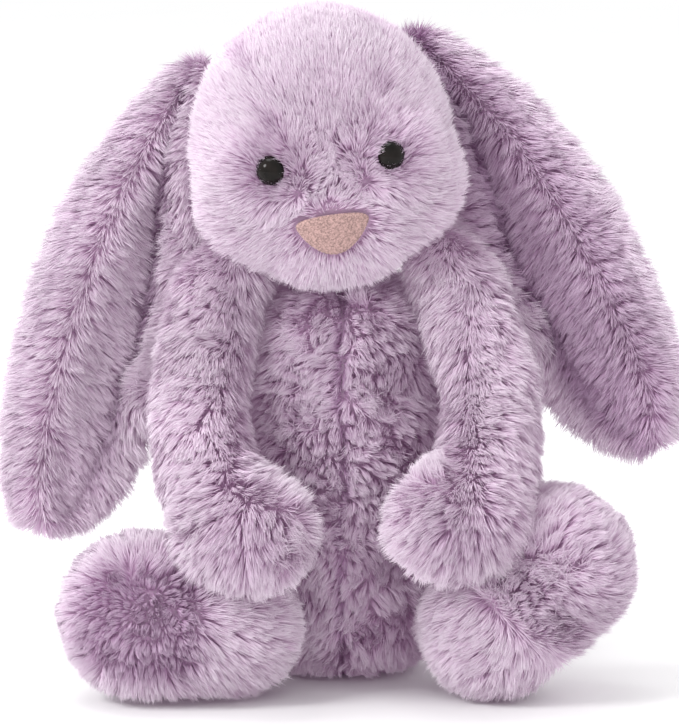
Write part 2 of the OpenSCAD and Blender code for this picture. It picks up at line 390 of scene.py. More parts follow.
def stuff(piece):
    """Presses the skin out from inside, as filling does, and keeps the result."""
    cloth = piece.modifiers.new("Stuffing", "CLOTH")
    values = cloth.settings
    values.use_pressure = True
    values.uniform_pressure_force = 4.0
    values.quality = 5
    values.mass = 0.3
    values.tension_stiffness = 15.0
    values.compression_stiffness = 15.0
    values.bending_stiffness = 0.5
    values.shrink_min = -0.02
    values.vertex_group_mass = "seam"
    values.effector_weights.gravity = 0.0
    cloth.collision_settings.use_collision = False
    last_frame = 20
    cloth.point_cache.frame_start = 1
    cloth.point_cache.frame_end = last_frame
    scene = bpy.context.scene
    for number in range(1, last_frame + 1):
        scene.frame_set(number)
    apply_modifiers(piece)
    scene.frame_set(1)


def points_of(mesh):
    """The mesh's points, as rows of x, y and z."""
    flat = np.empty(len(mesh.vertices) * 3, np.float32)
    mesh.vertices.foreach_get("co", flat)
    return flat.reshape(-1, 3).astype(np.float64)


def write_points(mesh, points):
    """Moves the mesh's points to the given places."""
    mesh.vertices.foreach_set("co", points.astype(np.float32).reshape(-1))
    mesh.update()


# ---------------------------------------------------------------- fur pile


# The corners of one strand: root, two in the middle, tip. Reach is how far along it each one is.
REACH = np.array([0.0, 0.5, 0.5, 1.0])
ACROSS = np.array([0.0, 1.0, -1.0, 0.0])
CORNERS = len(REACH)

LEAST_HEIGHT = 0.4 * MM  # of the fur over the surface that the toy sits on
SHORTEST_STRAND = 0.4 * MM
ROOT_SUNK = 0.3 * MM
LOCK_TO_TUFT = 2.4  # a lock gathers several tufts
WHORL_TO_TUFT = 5.5  # a whorl turns several locks
DROOP = np.array([0.0, 0.0, -0.10])  # the tips' own weight
ROOT_STANDS_MORE = 0.22  # how much more upright the lower half of a strand is
PULL_TO_TUFT = 0.46  # how far a tip moves towards the middle of its tuft
PULL_TO_LOCK = 0.16
MOST_ROLL = 0.7  # radians that a strand turns about its own length


def unit(vectors):
    """The same directions, each with a length of 1."""
    return vectors / np.maximum(np.linalg.norm(vectors, axis=-1, keepdims=True), TINY)


def flatten(vectors, normals):
    """What is left of the vectors across the normals."""
    return vectors - normals * np.sum(vectors * normals, axis=1, keepdims=True)


def along_surface(vectors, normals):
    """Lays directions flat on the surface."""
    return unit(flatten(vectors, normals))


def smoothstep(low, high, values):
    """0 at low, 1 at high, with a soft start and end. It falls where low is above high."""
    t = np.clip((values - low) / (high - low), 0.0, 1.0)
    return t * t * (3.0 - 2.0 * t)


def hashed(cells, salt):
    """Three even numbers from 0 to 1 for each whole-number cell, always the same ones."""
    primes = np.array([73856093, 19349663, 83492791], np.int64)
    mixed = (cells * primes).sum(-1) + salt * 2654435761
    numbers = []
    for k in range(3):
        mixed = (mixed ^ (mixed >> 13)) * 1274126177 + k * 97
        numbers.append(((mixed >> 8) & 0xFFFF) / 65535.0)
    return np.stack(numbers, -1)


def nearest_tuft(points, size, salt):
    """The middle of the tuft that each point belongs to, and that tuft's own random numbers."""
    cell = np.floor(points / size).astype(np.int64)
    best = np.full(len(points), 1e9)
    middle_of = np.zeros_like(points)
    numbers = np.zeros_like(points)
    for dx in (-1, 0, 1):
        for dy in (-1, 0, 1):
            for dz in (-1, 0, 1):
                near = cell + np.array([dx, dy, dz])
                spot = (near + hashed(near, salt)) * size
                gap = ((spot - points) ** 2).sum(1)
                closer = gap < best
                best[closer] = gap[closer]
                middle_of[closer] = spot[closer]
                numbers[closer] = hashed(near[closer], salt + 11)
    return middle_of, numbers


def strand_shape():
    """One strand: a slim kite of two triangles, standing on its root."""
    shape = bmesh.new()
    corners = [shape.verts.new((across, 0.0, up)) for across, up in zip(ACROSS, REACH)]
    shape.faces.new(corners[:3])
    shape.faces.new((corners[2], corners[1], corners[3]))
    return place_piece("strand", shape)


def growth_nodes():
    """Geometry nodes that stand one strand on each of many points of a skin."""
    group = bpy.data.node_groups.get("Pile growth")
    if group:
        return group
    group = bpy.data.node_groups.new("Pile growth", "GeometryNodeTree")
    new_socket = group.interface.new_socket
    new_socket("Geometry", in_out="INPUT", socket_type="NodeSocketGeometry")
    new_socket("Density", in_out="INPUT", socket_type="NodeSocketFloat")
    new_socket("Seed", in_out="INPUT", socket_type="NodeSocketInt")
    new_socket("Strand", in_out="INPUT", socket_type="NodeSocketObject")
    new_socket("Geometry", in_out="OUTPUT", socket_type="NodeSocketGeometry")
    into = group.nodes.new("NodeGroupInput")
    out = group.nodes.new("NodeGroupOutput")
    link = group.links.new

    cover = add_node(group, "GeometryNodeInputNamedAttribute", data_type="FLOAT")
    cover.inputs["Name"].default_value = "cover"
    amount = add_node(group, "ShaderNodeMath", operation="MULTIPLY")
    link(cover.outputs["Attribute"], amount.inputs[0])
    link(into.outputs["Density"], amount.inputs[1])
    spread = add_node(group, "GeometryNodeDistributePointsOnFaces", distribute_method="RANDOM")
    link(into.outputs["Geometry"], spread.inputs["Mesh"])
    link(amount.outputs[0], spread.inputs["Density"])
    link(into.outputs["Seed"], spread.inputs["Seed"])

    stream = spread.outputs["Points"]
    place = group.nodes.new("GeometryNodeInputPosition")
    for name, source in (("root_place", place.outputs[0]), ("root_normal", spread.outputs["Normal"])):
        store = add_node(group, "GeometryNodeStoreNamedAttribute", data_type="FLOAT_VECTOR", domain="POINT")
        store.inputs["Name"].default_value = name
        link(stream, store.inputs["Geometry"])
        link(source, store.inputs["Value"])
        stream = store.outputs["Geometry"]
    strand = group.nodes.new("GeometryNodeObjectInfo")
    link(into.outputs["Strand"], strand.inputs["Object"])
    stand = group.nodes.new("GeometryNodeInstanceOnPoints")
    link(stream, stand.inputs["Points"])
    link(strand.outputs["Geometry"], stand.inputs["Instance"])
    real = group.nodes.new("GeometryNodeRealizeInstances")
    link(stand.outputs["Instances"], real.inputs["Geometry"])
    link(real.outputs["Geometry"], out.inputs["Geometry"])
    return group


def attribute_vectors(mesh, name):
    """A stored vector of each strand, read at the strand's root."""
    flat = np.empty(len(mesh.vertices) * 3, np.float32)
    mesh.attributes[name].data.foreach_get("vector", flat)
    return flat.reshape(-1, 3)[::CORNERS].astype(np.float64)


def write_numbers(mesh, name, values):
    """Stores one number on each point, for a material or the growth nodes to read."""
    layer = mesh.attributes.get(name) or mesh.attributes.new(name, "FLOAT", "POINT")
    layer.data.foreach_set("value", values.astype(np.float32))


def grow_pile(name, skin, lay, seed, cover=None, density=1.0):
    """Grows fur on a skin. lay(points, normals) gives how the pile lies there: its direction, its length
    as a part of the full pile, its rise from 0, flat, to 1, upright, how unruly its tufts are and how deep
    its colour is. cover(points) gives 1 where it grows and 0 where it doesn't."""
    s = settings()
    base = skin.copy()
    base.data = skin.data.copy()
    base.name = name
    bpy.context.scene.collection.objects.link(base)
    places = points_of(base.data)
    write_numbers(base.data, "cover", cover(places) if cover else np.ones(len(places)))
    strand = strand_shape()
    grow = base.modifiers.new("Growth", "NODES")
    grow.node_group = growth_nodes()
    per_m2 = s.strands_per_mm2 * 1e6 * density
    sockets = {i.name: i.identifier for i in grow.node_group.interface.items_tree if i.in_out == "INPUT"}
    grow[sockets["Density"]] = per_m2
    grow[sockets["Seed"]] = seed
    grow[sockets["Strand"]] = strand
    apply_modifiers(base)
    bpy.data.objects.remove(strand)
    comb(base.data, lay, seed)
    base.data.materials.clear()
    base.data.materials.append(fur_material())
    return base


def comb(mesh, lay, seed):
    """Bends every strand the way the pile lies, and gathers the tips into tufts."""
    s = settings()
    rng = np.random.default_rng(RNG_SEED + seed)
    root = attribute_vectors(mesh, "root_place")
    normal = unit(attribute_vectors(mesh, "root_normal"))
    count = len(root)
    laid = lay(root, normal)
    tuft, tuft_numbers = nearest_tuft(root, s.tuft_size, seed)
    lock, lock_numbers = nearest_tuft(root, s.tuft_size * LOCK_TO_TUFT, seed + 50)
    whorl, whorl_numbers = nearest_tuft(root, s.tuft_size * WHORL_TO_TUFT, seed + 90)

    unruly = laid["unruly"][:, None]
    stray = (tuft_numbers - 0.5) * 0.9 + (lock_numbers - 0.5) * 1.3 + (whorl_numbers - 0.5) * 1.1
    swirl = np.cross(normal, unit(root - whorl)) * (whorl_numbers[:, :1] - 0.5) * 1.6
    heading = laid["heading"] + (stray + swirl) * unruly + rng.normal(size=(count, 3)) * 0.13
    heading = along_surface(heading, normal)
    uneven = (tuft_numbers[:, 0] - 0.5) * 0.24 + (lock_numbers[:, 0] - 0.5) * 0.2
    rise = np.clip(laid["rise"] + uneven * laid["unruly"] + rng.normal(size=count) * 0.05, 0.03, 1.0)
    length = s.pile_length * laid["length"]
    length = length * (0.92 + 0.16 * tuft_numbers[:, 1]) * (1.0 + rng.normal(size=count) * 0.09)
    length = np.maximum(length, SHORTEST_STRAND)

    lower_rise = np.clip(rise + ROOT_STANDS_MORE, 0.0, 1.0)
    first = lean(normal, heading, lower_rise)
    second = lean(normal, heading, rise)
    second = unit(second + DROOP)
    knee = root + first * (length * 0.5)[:, None]
    tip = knee + second * (length * 0.5)[:, None]

    to_tuft = flatten(tuft - root, normal)
    to_lock = flatten(lock - root, normal)
    pull = (to_tuft * PULL_TO_TUFT + to_lock * PULL_TO_LOCK) * laid["gather"][:, None]
    knee = knee + pull * 0.45
    tip = tip + pull

    run = unit(tip - root)
    outward = unit(flatten(normal, run) + rng.normal(size=(count, 3)) * 0.05)
    side = np.cross(run, outward)
    roll = rng.uniform(-MOST_ROLL, MOST_ROLL, count)[:, None]
    side = unit(side * np.cos(roll) + outward * np.sin(roll))
    half = (s.strand_width / 2) * (0.8 + 0.5 * rng.random(count))

    line = np.stack([root - normal * ROOT_SUNK, knee, knee, tip], axis=1)
    points = line + side[:, None, :] * (ACROSS[None, :, None] * half[:, None, None])
    points[:, :, 2] = np.maximum(points[:, :, 2], LEAST_HEIGHT * (1.0 + REACH[None, :]))
    write_points(mesh, points.reshape(-1, 3))

    write_numbers(mesh, "reach", np.tile(REACH, count))
    write_numbers(mesh, "strand", np.repeat(0.5 * rng.random(count) + 0.5 * tuft_numbers[:, 2], CORNERS))
    write_numbers(mesh, "depth", np.repeat(laid["depth"], CORNERS))
    for name in ("root_place", "root_normal", "cover"):
        if name in mesh.attributes:
            mesh.attributes.remove(mesh.attributes[name])
    mesh.shade_smooth()


def lean(normal, heading, rise):
    """A direction between flat along heading and upright along normal."""
    angle = rise[:, None] * (math.pi / 2)
    return unit(normal * np.sin(angle) + heading * np.cos(angle))


def pile(heading, normals, length=1.0, rise=0.35, unruly=0.5, gather=1.0, depth=0.0):
    """How the pile lies, with each number spread over all the points."""
    count = len(normals)

    def spread(value):
        return np.broadcast_to(np.asarray(value, float), (count,)).copy()

    return {
        "heading": along_surface(heading, normals),
        "length": spread(length),
        "rise": spread(rise),
        "unruly": spread(unruly),
        "gather": spread(gather),
        "depth": spread(depth),
    }


def np_of(vector):
    """A mathutils vector as a numpy one."""
    return np.array(vector[:], float)


def wear(piece, body):
    """Ties a piece to its body."""
    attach(piece, body)


def wear_stuffed(skin, body, fill, *panels):
    """Ties a stuffed skin to its body, and lets it stand for the frame's panels and filling."""
    wear(skin, body)
    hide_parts(*panels)


# ---------------------------------------------------------------- head

NOSE_AT = (-1.8, -39.0, -23.6)
NOSE_SIZE = (14.2, 6.6, 10.4)
EYE_X, EYE_Y, EYE_Z = 18.5, -36.0, -2.0
HEAD_TURN_BACK = np.array(HEAD_AXES)


def in_head_axes(points):
    """Points in the head's own axes, in millimetres."""
    return (points - np_of(HEAD_AT)) @ HEAD_TURN_BACK / MM


def head_vectors(local):
    """Directions given in the head's own axes, turned into the toy's."""
    return local @ HEAD_TURN_BACK.T


def lay_head(points, normals):
    """Short and smooth on the face, combed away from the nose and the eyes. Longer behind."""
    local = in_head_axes(points)
    from_nose = local - np.array(NOSE_AT)
    far = np.linalg.norm(from_nose, axis=1)
    heading = unit(from_nose) + np.array([0.0, 0.25, 0.15]) * smoothstep(20, 60, far)[:, None]
    behind = smoothstep(2, 26, local[:, 1])[:, None]
    heading = heading * (1.0 - 0.85 * behind) + np.array([0.0, 0.15, -1.0]) * behind * 1.1
    near_eye = np.zeros(len(local))
    for side in (-1, 1):
        from_eye = local - np.array([side * EYE_X, EYE_Y, EYE_Z])
        gap = np.linalg.norm(from_eye, axis=1)
        pull = 1.2 * np.exp(-((gap - 13.0) / 5.0) ** 2) - 1.3 * np.exp(-(gap / 6.5) ** 2)
        heading = heading + unit(from_eye) * pull[:, None]
        near_eye = np.maximum(near_eye, np.exp(-(gap / 9.0) ** 2))
    face = 1.0 - smoothstep(-30, 12, local[:, 1])
    forehead = face * smoothstep(2, 16, local[:, 2])
    seam_at = 14.5 + 0.22 * local[:, 2] + 1.2 * np.sin(local[:, 2] * 0.45)
    seam_gap = np.abs(local[:, 0]) - seam_at
    wander = 0.55 + 0.45 * np.sin(local[:, 2] * 0.31 + local[:, 0] * 0.1)
    above_eye = smoothstep(2, 10, local[:, 2]) * wander
    above_eye *= smoothstep(0, -12, local[:, 1])
    seam = np.exp(-(seam_gap / 2.6) ** 2) * above_eye
    parting = np.tanh(seam_gap / 2.0) * np.exp(-(seam_gap / 7.0) ** 2) * above_eye
    heading[:, 0] += np.sign(local[:, 0]) * parting * 0.75
    length = 0.92 - 0.10 * face - 0.14 * forehead
    length *= 1.0 - 0.32 * near_eye
    length *= 0.55 + 0.45 * smoothstep(9, 22, far)
    length *= 1.0 - 0.22 * seam
    rise = 0.40 - 0.08 * forehead + 0.15 * near_eye
    unruly = 0.28 - 0.16 * forehead
    gather = 0.8 - 0.45 * forehead
    # painted shade around the eyes and in the seam's parting, painted light paling the forehead
    depth = 0.35 * seam + 0.45 * near_eye - 0.15 * forehead * (1.0 - seam)
    return pile(head_vectors(heading), normals, length, rise, unruly, gather, depth)


def head_cover(front):
    """Where the pile grows: over the face, clear of the eyes and the nose, or over the back of the head."""
    def cover(points):
        local = in_head_axes(points)
        open_at = np.ones(len(local))
        for side in (-1, 1):
            gap = np.linalg.norm(local - np.array([side * EYE_X, EYE_Y - 1.5, EYE_Z]), axis=1)
            open_at *= smoothstep(2.5, 3.5, gap)
        open_at *= np.where(local[:, 1] < 0, smoothstep(0.9, 1.02, nose_reach(points)), 1.0)
        ahead = (local[:, 1] < 0).astype(float)
        return open_at * (ahead if front else 1.0 - ahead)
    return cover


class PLUSH_OT_head(bpy.types.Operator):
    """Stuffs the head and grows its fur"""

    bl_idname = "plush.head"
    bl_label = "Head"

    def execute(self, context):
        shape = bmesh.new()
        add_ball(shape, on_head(0, 0, 1), HEAD_RADII, HEAD_AXES)
        for side in (-1, 1):
            add_ball(shape, on_head(side * 15, -10, -13), Vector((25.5, 24, 22)) * MM, HEAD_AXES)
            add_ball(shape, on_head(side * 9, -24, -20), Vector((13, 13, 11.5)) * MM, HEAD_AXES)
            add_ball(shape, on_head(side * 18, -21.5, -2), Vector((15.5, 16, 15)) * MM, HEAD_AXES)
        add_ball(shape, on_head(0, -19, -15), Vector((20, 19.5, 17)) * MM, HEAD_AXES)
        add_ball(shape, on_head(0, -14, -24), Vector((24, 20, 18)) * MM, HEAD_AXES)
        add_ball(shape, on_head(0, -4, 14), Vector((34, 34, 29)) * MM, HEAD_AXES)
        skin = sew_and_stuff("head_skin", shape, most=1.5 * MM)
        wear_stuffed(skin, "head", 0.9, "head_gusset", "head_side_left", "head_side_right", "head_filling")
        wear(grow_pile("face_fur", skin, lay_head, 1, head_cover(True)), "head")
        wear(grow_pile("back_of_head_fur", skin, lay_head, 2, head_cover(False)), "head")
        return {"FINISHED"}


# ---------------------------------------------------------------- nose and eyes


def suede_material():
    """Fine short nap, a little worn, in dusty pink."""
    s = settings()
    material, tree, shader = new_material("Nose suede")
    fine = texture(tree, "ShaderNodeTexNoise", Scale=1400.0, Detail=3.0, Roughness=0.7)
    broad = texture(tree, "ShaderNodeTexNoise", Scale=180.0, Detail=2.0)
    stops = ((0.38, multiply(s.nose_colour, 0.45)), (0.60, multiply(s.nose_colour, 1.25)))
    nap = ramp(tree, stops, fine.outputs["Fac"])
    patches = map_range(tree, broad.outputs["Fac"], To_Max=0.35)
    rubbed = (*multiply(s.nose_colour, 1.05), 1.0)
    worn = mix_colours(tree, "MIX", patches, nap.outputs["Color"], rubbed)
    tree.links.new(worn, shader.inputs["Base Color"])
    add_bump(tree, shader, fine.outputs["Fac"], 0.5, 0.0003)
    set_inputs(shader, Roughness=0.85, Sheen_Weight=0.3)
    return material


class PLUSH_OT_nose(bpy.types.Operator):
    """Makes the padded suede nose"""

    bl_idname = "plush.nose"
    bl_label = "Nose"

    def execute(self, context):
        at = on_head(*NOSE_AT)
        across, up, out = (Vector(axis) for axis in nose_axes().T)
        half_w, above, below = (value * MM for value in NOSE_SIZE)
        rings = 7
        shape = bmesh.new()
        bmesh.ops.create_circle(shape, cap_ends=True, segments=48, radius=1.0)
        for _ in range(rings):
            face = next(f for f in shape.faces if len(f.verts) == 48)
            bmesh.ops.inset_region(shape, faces=[face], thickness=1.0 / (rings + 1), use_even_offset=False)
        turned = Matrix((across, up, out)).transposed()
        for vert in shape.verts:
            radius = min(1.0, math.hypot(vert.co.x, vert.co.y))
            angle = math.atan2(vert.co.y, vert.co.x)
            reach = triangle_reach(angle)
            x, y = math.cos(angle) * reach, math.sin(angle) * reach
            wide = x * radius * half_w
            tall = y * radius * (above if y > 0 else below)
            puff = 1.2 * MM + 3.4 * MM * math.sqrt(max(0.0, 1.0 - radius ** 3))
            curve = -(wide ** 2) / (2 * 60 * MM)
            vert.co = Vector((wide, tall, puff + curve))
            vert.co = at + turned @ vert.co
        edge = [e for e in shape.edges if e.is_boundary]
        made = bmesh.ops.extrude_edge_only(shape, edges=edge)
        for item in made["geom"]:
            if isinstance(item, bmesh.types.BMVert):
                item.co += -out * 3.0 * MM + (at - item.co) * 0.12
        rim = [e for e in shape.edges if e.is_boundary]
        bmesh.ops.holes_fill(shape, edges=rim)
        bmesh.ops.recalc_face_normals(shape, faces=shape.faces)
        nose = place_piece("nose_pad", shape)
        nose.data.shade_smooth()
        rounder = nose.modifiers.new("Rounder", "SUBSURF")
        rounder.levels = rounder.render_levels = 2
        apply_modifiers(nose)
        nose.data.materials.append(suede_material())
        wear(nose, "head")
        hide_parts("nose_patch")
        return {"FINISHED"}


def triangle_reach(angle):
    """Reach of a rounded triangle that points down, as a part of its half width or height."""
    reach = 0.85
    for corner in np.radians((28, 152, 270)):
        gap = np.arctan2(np.sin(angle - corner), np.cos(angle - corner))
        reach = reach + 0.19 * np.exp(-(gap / 0.55) ** 2)
    return reach


def nose_axes():
    """The nose's own axes as columns: across, up and out."""
    tilt = 0.30
    out = unit(np.array(HEAD_AXES) @ np.array([0.0, -1.0, -tilt]))
    across = np.array(HEAD_AXES)[:, 0]
    return np.stack([across, np.cross(out, across), out], 1)


def nose_reach(points):
    """How far points lie from the nose's middle: 1 at its edge."""
    flat = (points - np_of(on_head(*NOSE_AT))) @ nose_axes() / MM
    half_w, above, below = NOSE_SIZE
    x = flat[:, 0] / half_w
    y = flat[:, 1] / np.where(flat[:, 1] > 0, above, below)
    return np.hypot(x, y) / triangle_reach(np.arctan2(y, x))


def bead_material():
    """Polished black plastic, very dark brown where light goes in."""
    material, tree, shader = new_material("Eye bead")
    cloud = texture(tree, "ShaderNodeTexNoise", Scale=260.0, Detail=2.0)
    stops = ((0.3, (0.004, 0.0035, 0.003)), (0.8, (0.014, 0.010, 0.009)))
    dark = ramp(tree, stops, cloud.outputs["Fac"])
    tree.links.new(dark.outputs["Color"], shader.inputs["Base Color"])
    scratches = texture(tree, "ShaderNodeTexNoise", Scale=900.0, Detail=3.0)
    gloss = map_range(tree, scratches.outputs["Fac"], To_Min=0.05, To_Max=0.11)
    tree.links.new(gloss, shader.inputs["Roughness"])
    set_inputs(shader, Specular_IOR_Level=0.15)
    return material


def thread_material():
    """Twisted lilac sewing thread."""
    material, tree, shader = new_material("Sewing thread")
    twist = texture(tree, "ShaderNodeTexWave", Scale=700.0, Distortion=2.0)
    ply = ramp(tree, ((0.0, (0.22, 0.12, 0.22)), (1.0, (0.48, 0.32, 0.47))), twist.outputs["Fac"])
    tree.links.new(ply.outputs["Color"], shader.inputs["Base Color"])
    add_bump(tree, shader, twist.outputs["Fac"], 0.4, 0.0002)
    set_inputs(shader, Roughness=0.6)
    return material


def inner_material(name, pale, deep, scale, roughness):
    """An inner material with a cellular grain: cloth, pellets or washers."""
    material, tree, shader = new_material(name)
    grain = texture(tree, "ShaderNodeTexVoronoi", Scale=scale)
    colour = ramp(tree, ((0.0, pale), (1.0, deep)), grain.outputs["Distance"])
    tree.links.new(colour.outputs["Color"], shader.inputs["Base Color"])
    add_bump(tree, shader, grain.outputs["Distance"], 0.4, 0.0004)
    set_inputs(shader, Roughness=roughness)
    return material


class PLUSH_OT_small_parts(bpy.types.Operator):
    """Finishes the eyes, threads, washers and pouches that the frame brings"""

    bl_idname = "plush.small_parts"
    bl_label = "Eyes, threads and inner pieces"

    def execute(self, context):
        looks = (
            (("eye_left", "eye_right"), bead_material()),
            (("eye_washer_left", "eye_washer_right"),
             inner_material("Washer plastic", (0.80, 0.80, 0.77), (0.70, 0.70, 0.68), 420.0, 0.45)),
            (("seat_pouch",),
             inner_material("Pouch cloth", (0.84, 0.82, 0.76), (0.62, 0.60, 0.55), 1400.0, 0.9)),
            (("seat_pellets", "foot_pouch_left", "foot_pouch_right"),
             inner_material("Pellets", (0.86, 0.86, 0.84), (0.45, 0.45, 0.44), 330.0, 0.35)),
            (tuple(n for n in frame["nodes"] if "seam" in n) + ("neck_gather",), thread_material()),
        )
        for nodes, material in looks:
            for node in nodes:
                mesh = frame["nodes"][node].data
                mesh.materials.clear()
                mesh.materials.append(material)
        return {"FINISHED"}


# ---------------------------------------------------------------- body and tail


BODY_AT = middle("body_filling")


def lay_body(points, normals):
    """Combed down and a little away from the belly's seam, unruly over the belly, with painted shade
    deepening the colour over the belly and most of all along its seam.
    """
    x = points[:, 0] - BODY_AT[0]
    ahead = smoothstep(4 * MM, -14 * MM, points[:, 1] - BODY_AT[1])
    beside_seam = np.exp(-(x / (5 * MM)) ** 2)
    heading = np.stack([np.sign(x) * (0.15 + 0.4 * ahead * beside_seam), 0.0 * x, -np.ones(len(x))], 1)
    seam = ahead * np.exp(-(x / (1.1 * MM)) ** 2)
    height = points[:, 2]
    upper = smoothstep(70 * MM, 120 * MM, height)
    length = (0.80 - 0.14 * ahead + 0.06 * upper) * (1.0 - 0.35 * seam)
    rise = 0.42 + 0.14 * ahead - 0.12 * seam
    unruly = 0.45 + 0.9 * ahead * (1.0 - 0.5 * upper)
    # painted shade over the front of the belly and, stronger, along its seam
    depth = 0.18 * ahead + 0.8 * seam
    return pile(heading, normals, length, rise, unruly, depth=depth)


def body_cover(front):
    """Where the pile grows: over the front half, or over the back one."""
    def cover(points):
        ahead = (points[:, 1] < BODY_AT[1]).astype(float)
        return ahead if front else 1.0 - ahead
    return cover


class PLUSH_OT_body(bpy.types.Operator):
    """Stuffs the body and grows its fur"""

    bl_idname = "plush.body"
    bl_label = "Body"

    def execute(self, context):
        outline = ((0, 1.5), (11, 1.8), (21, 5.5), (29.5, 14), (35, 27), (36.5, 42), (34.5, 64), (31.5, 90),
                   (30, 108), (27, 122), (18, 132), (0, 136))
        shape = bmesh.new()
        verts = [shape.verts.new((BODY_AT[0] + r * MM, BODY_AT[1], z * MM)) for r, z in outline]
        edges = [shape.edges.new(pair) for pair in zip(verts, verts[1:])]
        bmesh.ops.spin(shape, geom=verts + edges, cent=BODY_AT, axis=(0, 0, 1), angle=2 * math.pi,
                       steps=48, use_merge=True)
        bmesh.ops.remove_doubles(shape, verts=shape.verts, dist=0.01 * MM)
        bmesh.ops.recalc_face_normals(shape, faces=shape.faces)

        def seams(at):
            on_seat = at[2] < 3 * MM
            on_belly_seam = abs(at[0] - BODY_AT[0]) < 2.4 * MM and at[1] < BODY_AT[1]
            return 1.0 if on_seat or on_belly_seam else 0.0

        skin = sew_and_stuff("body_skin", shape, held=seams, most=2.5 * MM, floor=1.0 * MM)
        wear_stuffed(skin, "body", 0.85, "body_panel_left", "body_panel_right", "body_filling")
        for pile_name, front, seed in (("belly_fur", True, 3), ("back_fur", False, 4)):
            fur = grow_pile(pile_name, skin, lay_body, seed, body_cover(front), density=0.92)
            wear(fur, "body")
        return {"FINISHED"}


class PLUSH_OT_tail(bpy.types.Operator):
    """Makes the round tail"""

    bl_idname = "plush.tail"
    bl_label = "Tail"

    def execute(self, context):
        at = middle("tail_fur")
        shape = bmesh.new()
        add_ball(shape, at, Vector((12.5, 11.5, 12.5)) * MM)
        skin = sew_and_stuff("tail_skin", shape, voxel=3.0 * MM, most=1.0 * MM)
        wear_stuffed(skin, "body", 0.8, "tail_fur", "tail_filling")

        def lay(points, normals):
            from_middle = (points - np_of(at)) / (12 * MM)
            heading = from_middle * np.array([1.0, 0.2, 1.0]) + np.array([0.15, 0.0, -0.6])
            return pile(heading, normals, 0.95, 0.6, 0.7)

        wear(grow_pile("tail_fur_pile", skin, lay, 5), "body")
        return {"FINISHED"}


# ---------------------------------------------------------------- arms


def arm_path(side):
    """Points down the middle of an arm, and its radius at each, from the shoulder to the paw."""
    name = "left" if side > 0 else "right"
    shoulder = joint_place("shoulder_swing_" + name)
    low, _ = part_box("arm_filling_" + name)
    paw_radius = 12 * MM
    paw_x = 41.0 * MM if side > 0 else shoulder.x + 7.5 * MM
    paw = Vector((paw_x, low.y + paw_radius, low.z + paw_radius))
    bow = Vector((side * 10.0, 2.0, 0.0)) * MM
    elbow = shoulder.lerp(paw, 0.45) + bow
    wrist = shoulder.lerp(paw, 0.75) + bow * 0.9
    top = shoulder + Vector((-side * 6.0, 2.0, 9.0)) * MM
    return (top, shoulder, elbow, wrist, paw), (9.5 * MM, 12.0 * MM, 12.0 * MM, 13.0 * MM, 14.5 * MM)


def lay_arm(side):
    """Down the arm and away from the line down its front, then fanned out from the wrist over the paw."""
    path, _ = arm_path(side)
    points_on = np.array([np_of(p) for p in path])

    def lay(points, normals):
        nearest = np.full(len(points), 1e9)
        run = np.zeros((len(points), 3))
        along = np.zeros(len(points))
        for i in range(len(points_on) - 1):
            a, b = points_on[i], points_on[i + 1]
            t = np.clip(((points - a) @ (b - a)) / ((b - a) @ (b - a)), 0.0, 1.0)
            gap = np.linalg.norm(points - (a + t[:, None] * (b - a)), axis=1)
            closer = gap < nearest
            nearest[closer] = gap[closer]
            run[closer] = unit(b - a)
            along[closer] = (i + t[closer]) / (len(points_on) - 1)
        paw_front = points_on[-1] + np.array([-side * 2.0, -15.0, -1.0]) * MM
        wrist_front = points_on[-1] + np.array([side * 2.0, -9.0, 20.0]) * MM
        from_wrist = (points - wrist_front) / (17 * MM)
        paw = smoothstep(0.74, 0.96, along)
        off_middle = points[:, 0] - (points_on[-1, 0] + (1.0 - along) * side * 4 * MM)
        ahead = smoothstep(0.0, -0.5, normals[:, 1])
        parted = np.tanh(off_middle / (3 * MM)) * ahead * 0.75
        sideways = np.stack([parted, 0.0 * parted, 0.0 * parted], 1)
        heading = (run + sideways) * (1.0 - paw)[:, None] + from_wrist * paw[:, None]
        middle_of_paw = paw * np.exp(-(np.linalg.norm(points - paw_front, axis=1) / (11 * MM)) ** 2)
        painted_rim_light = smoothstep(0.35, 0.0, np.abs(normals[:, 1]))
        along_parting = np.exp(-(off_middle / (3.5 * MM)) ** 2) * ahead * (1.0 - paw)
        length = 0.84 + 0.06 * paw
        rise = 0.40 + 0.14 * paw
        unruly = 0.40 + 0.42 * paw
        # painted rim light pales the edges seen side-on and painted shade deepens the parting; the middle of
        # the paw is darker too
        depth = 0.36 * middle_of_paw + 0.20 * along_parting - 0.30 * painted_rim_light
        return pile(heading, normals, length, rise, unruly, depth=depth)

    return lay


class PLUSH_OT_arms(bpy.types.Operator):
    """Stuffs the arms and grows their fur"""

    bl_idname = "plush.arms"
    bl_label = "Arms"

    def execute(self, context):
        for name, side in SIDES:
            path, radii = arm_path(side)
            shape = bmesh.new()
            add_limb(shape, path, radii)
            paw_turn = Euler((0, 0, math.radians(12 * side))).to_matrix()
            add_ball(shape, path[-1] + Vector((-side * 2.0, -1.0, 0.0)) * MM,
                     Vector((19.5, 14.5, 15.5)) * MM, paw_turn)
            skin = sew_and_stuff("arm_skin_" + name, shape, most=1.2 * MM, voxel=3.5 * MM)
            panels = ("arm_outer_" + name, "arm_inner_" + name, "arm_filling_" + name)
            wear_stuffed(skin, "arm_" + name, 0.7, *panels)
            wear(grow_pile("arm_fur_" + name, skin, lay_arm(side), 10 + int(side)), "arm_" + name)
        return {"FINISHED"}


# ---------------------------------------------------------------- legs


# Degrees about x, y and z.
FOOT_TURN = {"left": (0.0, -45.0, -8.0), "right": (0.0, 6.0, 8.0)}


def foot_axes(name):
    """The foot's own axes: x along it, y to its back, z up."""
    return Euler([math.radians(a) for a in FOOT_TURN[name]]).to_matrix()


